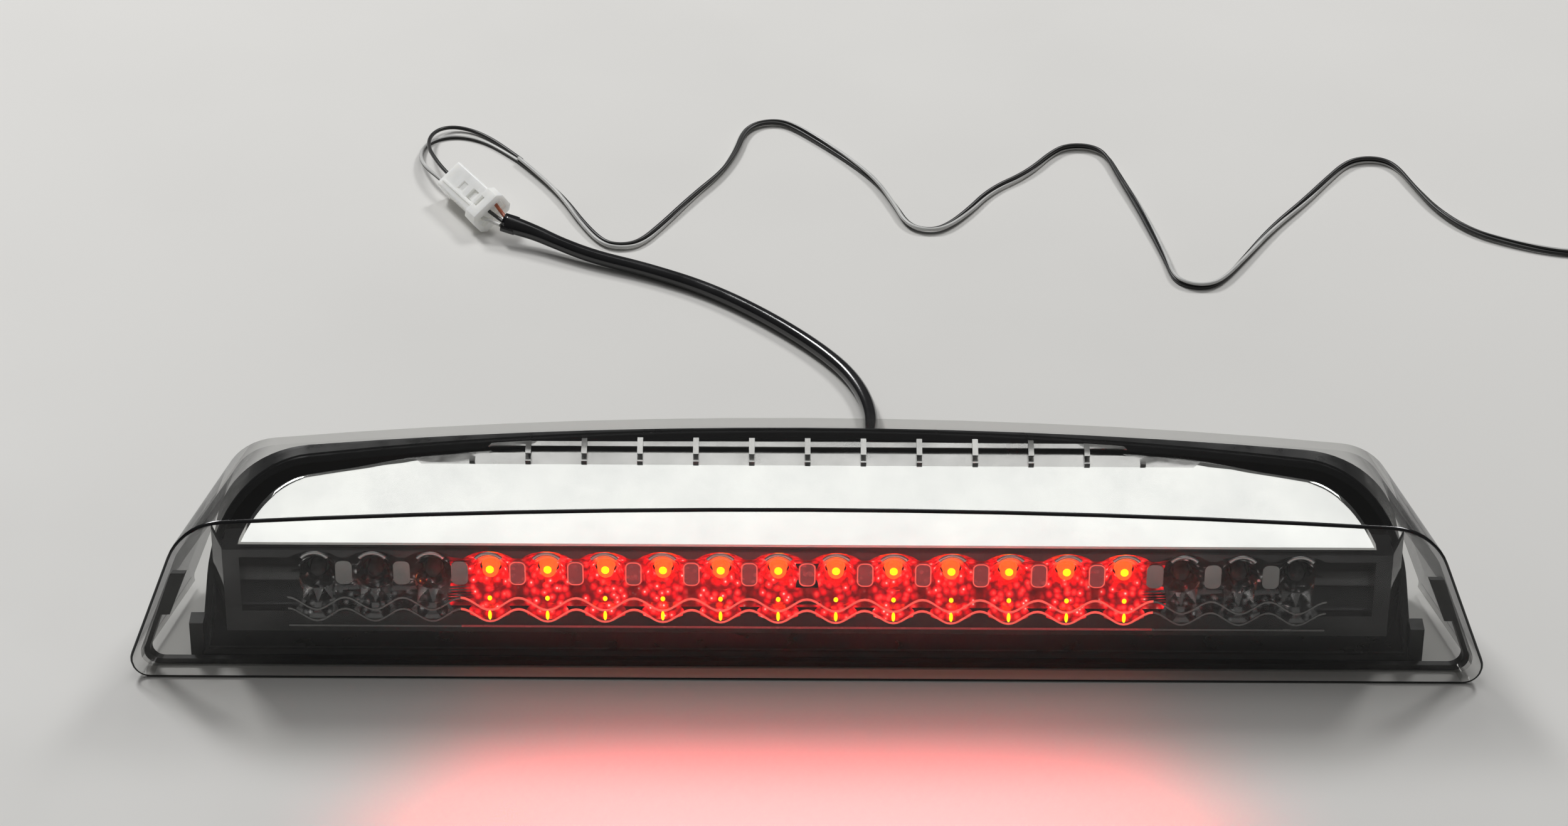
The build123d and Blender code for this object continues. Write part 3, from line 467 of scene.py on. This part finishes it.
# ---------- camera, light and floor ----------
def make_camera():
    """The view from above the front of the lamp."""
    data = bpy.data.cameras.new("camera")
    data.lens = CAMERA_FOCAL_LENGTH
    data.sensor_width = 36.0
    data.clip_start = 0.05
    data.clip_end = 30.0
    camera = bpy.data.objects.new("camera", data)
    bpy.context.scene.collection.objects.link(camera)
    look_down = Matrix.Rotation(CAMERA_TILT, 4, "X")
    roll = Matrix.Rotation(CAMERA_ROLL, 4, "Z")
    camera.matrix_world = Matrix.Translation(CAMERA_PLACE) @ look_down @ roll
    bpy.context.scene.camera = camera


def soft_light(name, place, aim, width, depth, power, colour=(1, 1, 1), spread=180):
    """A rectangular lamp that faces its aim."""
    data = bpy.data.lights.new(name, "AREA")
    data.shape = "RECTANGLE"
    data.size = width
    data.size_y = depth
    data.energy = power
    data.color = colour
    data.spread = math.radians(spread)
    lamp = bpy.data.objects.new(name, data)
    bpy.context.scene.collection.objects.link(lamp)
    lamp.location = place
    lamp.rotation_euler = (Vector(aim) - Vector(place)).to_track_quat("-Z", "Y").to_euler()
    return lamp


def make_studio():
    """A grey room with a panel overhead, a light behind each end, and the lamps' red on the floor."""
    world = bpy.data.worlds.new("studio")
    world.use_nodes = True
    bpy.context.scene.world = world
    sky = world.node_tree.nodes["Background"]
    place = world.node_tree.nodes.new("ShaderNodeTexCoord")
    split = world.node_tree.nodes.new("ShaderNodeSeparateXYZ")
    band = world.node_tree.nodes.new("ShaderNodeValToRGB")
    band.color_ramp.elements[0].position = 0.0
    band.color_ramp.elements[0].color = (0.10, 0.10, 0.105, 1)
    band.color_ramp.elements[1].position = 0.75
    band.color_ramp.elements[1].color = (0.42, 0.42, 0.415, 1)
    links = world.node_tree.links
    links.new(place.outputs["Generated"], split.inputs["Vector"])
    links.new(split.outputs["Z"], band.inputs["Fac"])
    links.new(band.outputs["Color"], sky.inputs["Color"])
    sky.inputs["Strength"].default_value = SKY_STRENGTH
    bpy.context.scene.view_settings.view_transform = "Standard"
    soft_light("overhead", (0.0, 0.38, 1.5), STUDIO_AIM, 0.9, 0.85, 3.9)
    for name, right, power in (("left_key", -0.85, 17.5), ("right_key", 0.85, 11.5)):
        soft_light(name, (right, 1.35, 1.38), STUDIO_AIM, 0.4, 0.4, power)
    soft_light("red_spill", (0.0, LENS_FRONT - 1 * MM, 26 * MM), (0.0, LENS_FRONT - 110 * MM, 0.0),
               LIT_CELLS * CELL_PITCH, 8 * MM, 0.012, colour=(1.0, 0.03, 0.03), spread=60)
    wash = soft_light("red_wash", (0.0, LENS_FRONT - 108 * MM, 0.26), (0.0, LENS_FRONT - 104 * MM, 0.0),
                      0.18, 0.06, 0.20, colour=(1.0, 0.04, 0.045), spread=32)
    wash.visible_glossy = False
    wash.visible_camera = False


def make_floor():
    bm = bmesh.new()
    bmesh.ops.create_grid(bm, x_segments=1, y_segments=1, size=4.0)
    mesh = bpy.data.meshes.new("floor")
    bm.to_mesh(mesh)
    bm.free()
    finish = Finish("pale_floor")
    finish.colour(finish.noise(2.0), (0.3, (0.78, 0.77, 0.745)), (0.7, (0.80, 0.79, 0.765)))
    finish.rough(finish.noise(8.0), 0.45, 0.6)
    mesh.materials.append(finish.material)
    floor = bpy.data.objects.new("floor", mesh)
    bpy.context.scene.collection.objects.link(floor)


# ---------- connector axes ----------
def connector_frame():
    """Turns a point along, across and out of the connector into its place."""
    along = Vector((math.cos(CONNECTOR_TURN), math.sin(CONNECTOR_TURN), 0))
    out = Vector((-math.sin(CONNECTOR_ROLL) * along.y, math.sin(CONNECTOR_ROLL) * along.x,
                  math.cos(CONNECTOR_ROLL)))
    across = out.cross(along)
    turn = Matrix((along, across, out)).transposed().to_4x4()
    return Matrix.Translation(CONNECTOR_AT) @ turn


LAID = connector_frame()


def connector_point(x, y):
    return LAID @ Vector((x, y, 0))


# ---------- cords ----------
def mm_points(*points):
    return [Vector(point) * MM for point in points]


def line_length(line):
    return sum((b - a).length for a, b in zip(line, line[1:]))


SHEATH_ROUTE = mm_points(
    (21, 33, 26), (21, 45, 26), (20.6, 61, 20.5), (20.2, 79, 10.5), (20.9, 98, 4.0),
    (21.5, 118, 2.6), (15.8, 138.5, 2.7), (4.5, 157, 2.6), (-13, 177.5, 2.7), (-33, 196, 2.6),
    (-54, 208.5, 2.8), (-74, 217, 3.3), (-86.5, 224.4, 4.4), (-96.5, 230.8, 5.8),
    (-106.2, 234.6, 7.0))
BLACK_TAIL_ROUTE = [connector_point(24 * MM, 0), connector_point(30.5 * MM, 0)] + mm_points(
    (-134, 283, 6.4), (-136.3, 291.3, 5.2), (-137.1, 299.2, 4.0), (-136.3, 306.3, 3.0),
    (-133.6, 311.9, 2.2), (-128.9, 314.7, 1.5), (-122.9, 313.3, 1.1), (-116.9, 308.9, 0.9),
    (-110.4, 301.6, 0.8), (-102.9, 291.2, 0.8))
STRIPED_TAIL_ROUTE = [connector_point(24 * MM, WAY_PITCH),
                      connector_point(29.5 * MM, WAY_PITCH)] + mm_points(
    (-136, 277.9, 4.2), (-138.7, 285.7, 3.1), (-139.6, 292.8, 2.0), (-138.9, 299.9, 1.1),
    (-135.9, 305.5, 0.75), (-130.6, 308.5, 0.8), (-124.4, 308.4, 0.75), (-118, 305.3, 0.8),
    (-111.4, 299.4, 0.75), (-103.5, 289.7, 0.8))
TWIN_ROUTE = mm_points(
    (-103.9, 290.1, 1.45), (-95.0, 277.2, 1.45), (-86.5, 262.3, 1.5), (-78.8, 243.6, 1.45),
    (-71.4, 230.0, 1.45), (-64.8, 227.4, 1.5), (-58.0, 230.0, 1.45), (-50.8, 242.4, 1.45),
    (-40.2, 263.8, 1.5), (-30.6, 281.0, 1.45), (-25.2, 297.0, 1.45), (-22.6, 312.0, 1.5),
    (-18.0, 318.6, 1.45), (-10.9, 320.6, 1.45), (-4.6, 317.4, 1.45), (6.0, 304.5, 1.5),
    (17.2, 289.4, 1.45), (26.0, 274.6, 1.45), (31.8, 258.4, 1.5), (36.0, 244.6, 1.45),
    (41.9, 240.4, 1.45), (48.9, 241.6, 1.5), (57.5, 253.0, 1.45), (66.5, 269.4, 1.45),
    (80.1, 281.4, 1.5), (90.9, 299.2, 1.45), (97.4, 302.7, 1.45), (104.4, 301.8, 1.5),
    (109.4, 296.8, 1.45), (113.2, 280.0, 1.45), (118.8, 257.5, 1.5), (123.2, 236.0, 1.45),
    (126.0, 221.0, 1.45), (127.9, 207.6, 1.5), (132.8, 202.6, 1.45), (139.5, 202.0, 1.45),
    (145.1, 206.8, 1.5), (153.4, 221.6, 1.45), (165.0, 243.0, 1.45), (178.5, 262.4, 1.5),
    (188.0, 278.0, 1.45), (195.6, 289.8, 1.45), (202.0, 293.6, 1.5), (209.1, 293.2, 1.45),
    (214.2, 288.2, 1.45), (219.0, 273.4, 1.5), (225.4, 256.0, 1.45), (235.6, 241.2, 1.45),
    (249.2, 233.0, 1.5), (262.0, 227.6, 1.45), (273.6, 226.0, 1.45), (282.0, 228.0, 1.5))


def coil_points():
    """The lead's last turns, wound clockwise and tied."""
    outer = (COIL_HIGH.x - COIL_LOW.x) / 2 - TWIN / 2
    points = []
    steps = int(COIL_TURNS * POINTS_PER_TURN)
    for step in range(steps + 1):
        share = step / steps
        angle = COIL_START - share * COIL_TURNS * 2 * math.pi
        lane = (step / POINTS_PER_TURN) % 2
        radius = outer - LANE_STEP * (0.5 - 0.5 * math.cos(math.pi * lane))
        height = COIL_LOW.z + TWIN / 2 + min(1.0, share * 1.2) * COIL_RISE
        points.append(Vector((COIL_MIDDLE.x + radius * math.cos(angle),
                              COIL_MIDDLE.y + radius * math.sin(angle), height)))
    return points


def route_line(points):
    """Points read along the smooth curve that has the route as its control points."""
    data = bpy.data.curves.new("route", "CURVE")
    data.dimensions = "3D"
    data.resolution_u = 12
    spline = data.splines.new("NURBS")
    spline.points.add(len(points) - 1)
    for knot, point in zip(spline.points, points):
        knot.co = (*point, 1.0)
    spline.order_u = 3
    spline.use_endpoint_u = True
    holder = bpy.data.objects.new("route", data)
    bpy.context.scene.collection.objects.link(holder)
    line = bpy.data.meshes.new_from_object(holder)
    found = [vertex.co.copy() for vertex in line.vertices]
    bpy.data.objects.remove(holder)
    bpy.data.meshes.remove(line)
    return found


def carried_axes(line, first_side):
    """At each point of a line, its direction and a side that turns as little as it can."""
    axes = []
    side = Vector(first_side)
    for index, here in enumerate(line):
        before = line[max(index - 1, 0)]
        after = line[min(index + 1, len(line) - 1)]
        ahead = (after - before).normalized()
        side = (side - side.dot(ahead) * ahead).normalized()
        axes.append((here, ahead, side))
    return axes


def sweep(bm, axes, width, height, sides=16, offset=None, turn=0.0, stripe=None, caps=True):
    """Sweeps an oval along the axes; width and height may change with the distance run."""
    rings = []
    run = 0.0
    for index, (here, ahead, side) in enumerate(axes):
        if index:
            run += (here - axes[index - 1][0]).length
        up = ahead.cross(side)
        spin = turn * run
        across = side * math.cos(spin) + up * math.sin(spin)
        rise = ahead.cross(across)
        centre = here + (across * offset if offset else Vector())
        wide = width(run) if callable(width) else width
        tall = height(run) if callable(height) else height
        ring = bmesh.ops.create_circle(bm, cap_ends=False, radius=1.0, segments=sides)["verts"]
        for corner in ring:
            corner.co = centre + across * (corner.co.x * wide / 2) + rise * (corner.co.y * tall / 2)
        rings.append(ring)
    for before, after in zip(rings, rings[1:]):
        for n in range(sides):
            face = bm.faces.new((before[n], before[(n + 1) % sides], after[(n + 1) % sides], after[n]))
            face.smooth = True
            if stripe:
                face.material_index = 1 if n in stripe else 0
    if caps:
        bm.faces.new(rings[0])
        bm.faces.new(rings[-1])
    return rings


def make_sheath():
    """Glossy sleeve round the lamp's three wires, pressed flat at its open end."""
    line = route_line(SHEATH_ROUTE)
    total = line_length(line)

    def press(run):
        return max(0.0, min(1.0, (run - total + PRESSED_LENGTH) / PRESSED_LENGTH)) ** 1.6

    bm = bmesh.new()
    axes = carried_axes(line, (1, 0, 0))
    ahead, side = axes[-1][1:]
    wires_side = LAID.to_3x3() @ Vector((0, 1, 0))
    end_side = wires_side - wires_side.dot(ahead) * ahead
    twist = math.atan2(end_side.dot(ahead.cross(side)), end_side.dot(side))
    rings = sweep(bm, axes, lambda run: SHEATH * (1 + PRESSED_WIDER * press(run)),
                  lambda run: SHEATH * (1 - PRESSED_THINNER * press(run)),
                  sides=28, turn=twist / total, caps=False)
    bm.faces.new(rings[0])
    mouth = bm.faces.new(rings[-1])
    inset = bmesh.ops.inset_region(bm, faces=[mouth], thickness=SHEATH_WALL)
    bmesh.ops.translate(bm, verts=mouth.verts, vec=-ahead * SHEATH_MOUTH)
    for face in inset["faces"]:
        face.smooth = False
    bmesh.ops.recalc_face_normals(bm, faces=bm.faces)
    made = piece("harness_sheath_finish", bm, body_of_node("harness_sheath"), SHEATH_VINYL)
    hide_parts("harness_sheath")
    return made, line


def make_wire(node, route, stripe=None):
    """A single wire on its own smooth route."""
    line = route_line(route)
    bm = bmesh.new()
    sweep(bm, carried_axes(line, (1.0, 0.5, 0.0)), WIRE, WIRE, sides=16, stripe=stripe)
    bmesh.ops.recalc_face_normals(bm, faces=bm.faces)
    made = piece(node + "_finish", bm, body_of_node(node), WIRE_BLACK, WIRE_STRIPE)
    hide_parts(node)
    return made, line


def make_twin():
    """Two bonded wires, one striped, that twist slowly along the lead and its coil."""
    line = route_line(TWIN_ROUTE + coil_points() + coil_tail())
    bm = bmesh.new()
    axes = carried_axes(line, (0.0, 0.0, 1.0))
    turn = 2 * math.pi / TWIST_PITCH
    sweep(bm, axes, WIRE, WIRE, sides=12, offset=-WIRE / 2 * BOND, turn=turn)
    sweep(bm, axes, WIRE, WIRE, sides=12, offset=WIRE / 2 * BOND, turn=turn, stripe=range(5, 12))
    bmesh.ops.recalc_face_normals(bm, faces=bm.faces)
    made = piece("twin_lead_finish", bm, body_of_node("twin_lead"), WIRE_BLACK, WIRE_STRIPE)
    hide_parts("twin_lead", "lead_coil")
    return made, line


def coil_tail():
    """From the last turn out to the stripped ends."""
    low = TWIN / 2 + 0.1 * MM
    places = ((11, 14.2, COIL_LOW.z + 2.6 * MM), (6.5, 17.6, 2.6 * MM), (2.6, 20.6, low), (0.6, 23.4, low))
    return [Vector((COIL_MIDDLE.x + right * MM, COIL_MIDDLE.y - near * MM, height))
            for right, near, height in places]


make_camera()
make_studio()
make_floor()
sheath, sheath_line = make_sheath()
black, black_line = make_wire("black_tail", BLACK_TAIL_ROUTE)
striped, striped_line = make_wire("striped_tail", STRIPED_TAIL_ROUTE, stripe=range(5, 11))
twin, twin_line = make_twin()


# ---------- lamp ----------
def mark_crease(bm):
    """Rounds the outline of the front face, and gives the rounding a painted dark line, the painted shade
    a crease in clear plastic shows.
    """
    front = Vector((0, -math.cos(LENS_LEAN), math.sin(LENS_LEAN)))
    faces = {face for face in bm.faces if face.normal.dot(front) > FRONT_MATCH}
    edges = [edge for edge in bm.edges if len(set(edge.link_faces) & faces) == 1]
    bmesh.ops.bevel(bm, geom=edges, offset=CREASE_WIDTH, offset_type="WIDTH", segments=3, profile=0.5,
                    affect="EDGES", material=1)


def mark_shelf(bm):
    """Greys the ribbed shelf above the reflector, and darkens the flanks of its ribs with smoked chrome as
    painted shade.
    """
    for face in bm.faces:
        middle = face.calc_center_median()
        # Painted shade: the rib flanks take the darker smoked chrome.
        if abs(face.normal.x) > 0.5 and abs(middle.x) < REFLECTOR_END - RIB_MARGIN:
            face.material_index = 1
        elif middle.z > SHELF_LOW and middle.y > SHELF_FRONT:
            face.material_index = 2


def linked_groups(bm):
    """The separate bodies of a mesh, as lists of faces."""
    groups = []
    found = set()
    for first in bm.faces:
        if first in found:
            continue
        found.add(first)
        group = [first]
        for face in group:
            for edge in face.edges:
                near = [other for other in edge.link_faces if other not in found]
                found.update(near)
                group.extend(near)
        groups.append(group)
    return groups


def mark_wire_colours(bm):
    """Orange-brown, black and white insulation, side by side."""
    def lane(group):
        return sum((LAID.inverted() @ face.calc_center_median()).y for face in group) / len(group)

    for index, group in enumerate(sorted(linked_groups(bm), key=lane)):
        for face in group:
            face.material_index = index % 3


def make_brows():
    """A bright arched rim over the mouth of every cup."""
    bm = bmesh.new()
    for x in cell_places():
        middle = Vector((x, BEZEL_FACE - 0.1 * MM, BROW_TOP - BROW_RADIUS))
        lean = Matrix.Rotation(-BROW_SPAN / 2, 4, "Y")
        place = Matrix.Translation(middle) @ lean @ Matrix.Translation((0, 0, BROW_RADIUS - BROW_BAR))
        ring = bmesh.ops.create_circle(bm, segments=10, radius=BROW_BAR, cap_ends=True,
                                       matrix=place @ Matrix.Rotation(math.radians(90), 4, "Y"))["verts"]
        bmesh.ops.scale(bm, verts=ring, vec=(1, 0.55, 1), space=Matrix.Translation(-middle))
        bmesh.ops.spin(bm, geom=faces_of(ring), cent=middle, axis=(0, 1, 0), angle=BROW_SPAN, steps=14)
    bmesh.ops.recalc_face_normals(bm, faces=bm.faces)
    smooth(bm, 60)
    return piece("cup_brows", bm, LAMP_BODY, BROW_CHROME)


def make_hem():
    """The plated hem that carries the shelf up to the rim of the housing."""
    bm = merged("top_reflector")
    off_shelf = [face for face in bm.faces
                 if face.calc_center_median().z < SHELF_TOP or face.normal.z < 0.3]
    bmesh.ops.delete(bm, geom=off_shelf, context="FACES")
    bmesh.ops.translate(bm, verts=bm.verts, vec=HEM_SHIFT)
    bmesh.ops.solidify(bm, geom=bm.faces, thickness=HEM_THICKNESS)
    smooth(bm)
    return piece("reflector_hem", bm, LAMP_BODY, SHELF_CHROME)


def make_webs():
    """The small rounded panels between neighbouring cups, in lighter chrome as painted highlight; between
    lit lamps they carry painted red glow, brightest on an inset rim.
    """
    bm = bmesh.new()
    cells = cell_places()
    for left, right in zip(cells, cells[1:]):
        middle = Vector(((left + right) / 2, BEZEL_FACE - 0.15 * MM, (WEB_LOW + WEB_HIGH) / 2))
        size = Matrix.Diagonal((WEB_WIDTH, WEB_THICKNESS, WEB_HIGH - WEB_LOW, 1))
        block = bmesh.ops.create_cube(bm, size=1.0, matrix=Matrix.Translation(middle) @ size)["verts"]
        faces = faces_of(block)
        lit = is_lit(left) and is_lit(right)
        for face in faces:
            face.material_index = 1 if lit else 0
        corners = [edge for edge in dict.fromkeys(edge for face in faces for edge in face.edges)
                   if abs(edge.verts[0].co.y - edge.verts[1].co.y) > WEB_THICKNESS / 2]
        bmesh.ops.bevel(bm, geom=corners, offset=WEB_CORNER, offset_type="OFFSET", segments=5,
                        profile=0.5, affect="EDGES", material=-1)
        fronts = [face for face in bm.faces if face.normal.y < -0.9]
        newest = max(fronts, key=lambda face: face.calc_center_median().x)
        # The inset rim takes the painted red glow between lit lamps.
        for face in bmesh.ops.inset_region(bm, faces=[newest], thickness=WEB_RIM)["faces"]:
            face.material_index = 2 if lit else 0
    bmesh.ops.recalc_face_normals(bm, faces=bm.faces)
    smooth(bm, 30)
    return piece("cup_webs", bm, LAMP_BODY, HIGHLIGHT_CHROME, RED_GLOW_WEB, RED_GLOW_RIM)


def make_scallops():
    """Two wavy lips under the row, low under each cup and high between cups, and a straight one; their
    lighter chrome is painted highlight, and under the lit lamps they carry painted red glow.
    """
    bm = bmesh.new()
    upright = Matrix.Rotation(math.radians(90), 4, "X")
    size = Matrix.Diagonal((CELLS * CELL_PITCH / 2, LIP_HALF_HEIGHT, 1, 1))
    for height, swing in LIP_HEIGHTS_AND_SWINGS:
        place = Matrix.Translation((0, BEZEL_FACE - 0.2 * MM, height)) @ upright
        strip = bmesh.ops.create_grid(bm, x_segments=CELLS * LIP_STEPS_PER_CELL, y_segments=1, size=1.0,
                                      matrix=place @ size)["verts"]
        for corner in strip:
            corner.co.z += swing * math.cos(2 * math.pi * corner.co.x / CELL_PITCH)
        faces = faces_of(strip)
        for face in faces:
            # Under the lit lamps the lips take painted red glow.
            if is_lit(face.calc_center_median().x):
                face.material_index = 1 if swing else 2
        bmesh.ops.solidify(bm, geom=faces, thickness=LIP_THICKNESS)
    bmesh.ops.recalc_face_normals(bm, faces=bm.faces)
    smooth(bm, 40)
    return piece("cup_scallops", bm, LAMP_BODY, HIGHLIGHT_CHROME, RED_GLOW_RIM, RED_GLOW_WEB)


def make_chips_and_reflections():
    """The yellow-hot chip in each lit lamp, and glowing blobs below it that are painted reflections of it
    in the lips.
    """
    bm = bmesh.new()
    for x in filter(is_lit, cell_places()):
        for depth, height, wide, tall in CHIP_AND_REFLECTION_SPOTS:
            place = Vector((x, LENS_FRONT + depth * MM, height * MM))
            size = Matrix.Diagonal((wide * MM, 0.6 * MM, tall * MM, 1))
            bmesh.ops.create_icosphere(bm, subdivisions=2, radius=1.0,
                                       matrix=Matrix.Translation(place) @ size)
    smooth(bm, 80)
    return piece("chip_glows_and_painted_reflections", bm, LAMP_BODY, CHIP_AND_REFLECTION_GLOW)


def mark_cups(bm):
    """Gives the insides of the lit cups their painted red glow and the dark cups their finish, with a fan
    of lighter chrome low in the dark ones as painted highlight.
    """
    for face in bm.faces:
        middle = face.calc_center_median()
        for x in cell_places():
            reach = Vector((middle.x - x, 0, middle.z - CUP_HEIGHT)).length
            behind = middle.y > BEZEL_FACE + 0.4 * MM
            if behind and reach < CUP_MOUTH and abs(middle.x - x) < CELL_PITCH / 2:
                turn = math.degrees(math.atan2(middle.x - x, CUP_HEIGHT - middle.z))
                # Alternate blades low in the dark cups take the lighter chrome as painted highlight.
                highlight_blade = abs(turn) < HIGHLIGHT_FAN_SPAN_DEGREES and round(turn / HIGHLIGHT_FAN_BLADE_DEGREES) % 2 == 0
                dark = 3 if highlight_blade and reach > CUP_WAIST else 2
                face.material_index = 1 if is_lit(x) else dark


finished_copy("outer_lens", ACRYLIC, CREASE_SHADE, mark=mark_crease, limit=25)
finished_copy("led_bezel", SMOKE_CHROME, PAINTED_GLOW_CUP, DARK_CUP, HIGHLIGHT_CHROME, mark=mark_cups, limit=22)
finished_copy("top_reflector", CHROME, SMOKE_CHROME, SHELF_CHROME, mark=mark_shelf, rounding=0.2 * MM)
make_hem()
make_brows()
make_webs()
make_scallops()
make_chips_and_reflections()
for node, material, rounding in (
        ("rear_housing", BLACK_PLASTIC, 0.4), ("lens_sealant_bead", BEAD_RUBBER, 0.3),
        ("wing_seal", SEAL_RUBBER, 0.5), ("circuit_board", BOARD_GREEN, 0), ("brake_leds", LIT_LAMP, 0),
        ("end_leds", CLEAR_LAMP, 0), ("resistors", CHIP_BLACK, 0.1), ("regulators", CHIP_BLACK, 0.2),
        ("board_header", NYLON_PAINTED_GLOW, 0.2), ("board_screws", STEEL, 0), ("inner_wires", WIRE_BLACK, 0),
        ("cable_grommet", SEAL_RUBBER, 0.4), ("vent_cap", BLACK_PLASTIC, 0.5),
        ("rear_gasket", FOAM, 0.4), ("mounting_studs", STEEL, 0.3)):
    finished_copy(node, material, rounding=rounding * MM)
plug = finished_copy("plug_housing", NYLON_PAINTED_GLOW, rounding=0.25 * MM)
finished_copy("shroud_housing", NYLON_PAINTED_GLOW, rounding=0.25 * MM)
finished_copy("latch_tongue", NYLON_PAINTED_GLOW, rounding=0.1 * MM)
finished_copy("plug_terminals", TIN)
finished_copy("shroud_terminals", TIN)
wires = finished_copy("harness_wires", WIRE_BROWN, WIRE_BLACK, WIRE_WHITE, mark=mark_wire_colours)
tie = finished_copy("coil_tie", TIE_VINYL, rounding=0.3 * MM)
ends = finished_copy("stripped_ends", TIN, rounding=0.1 * MM)
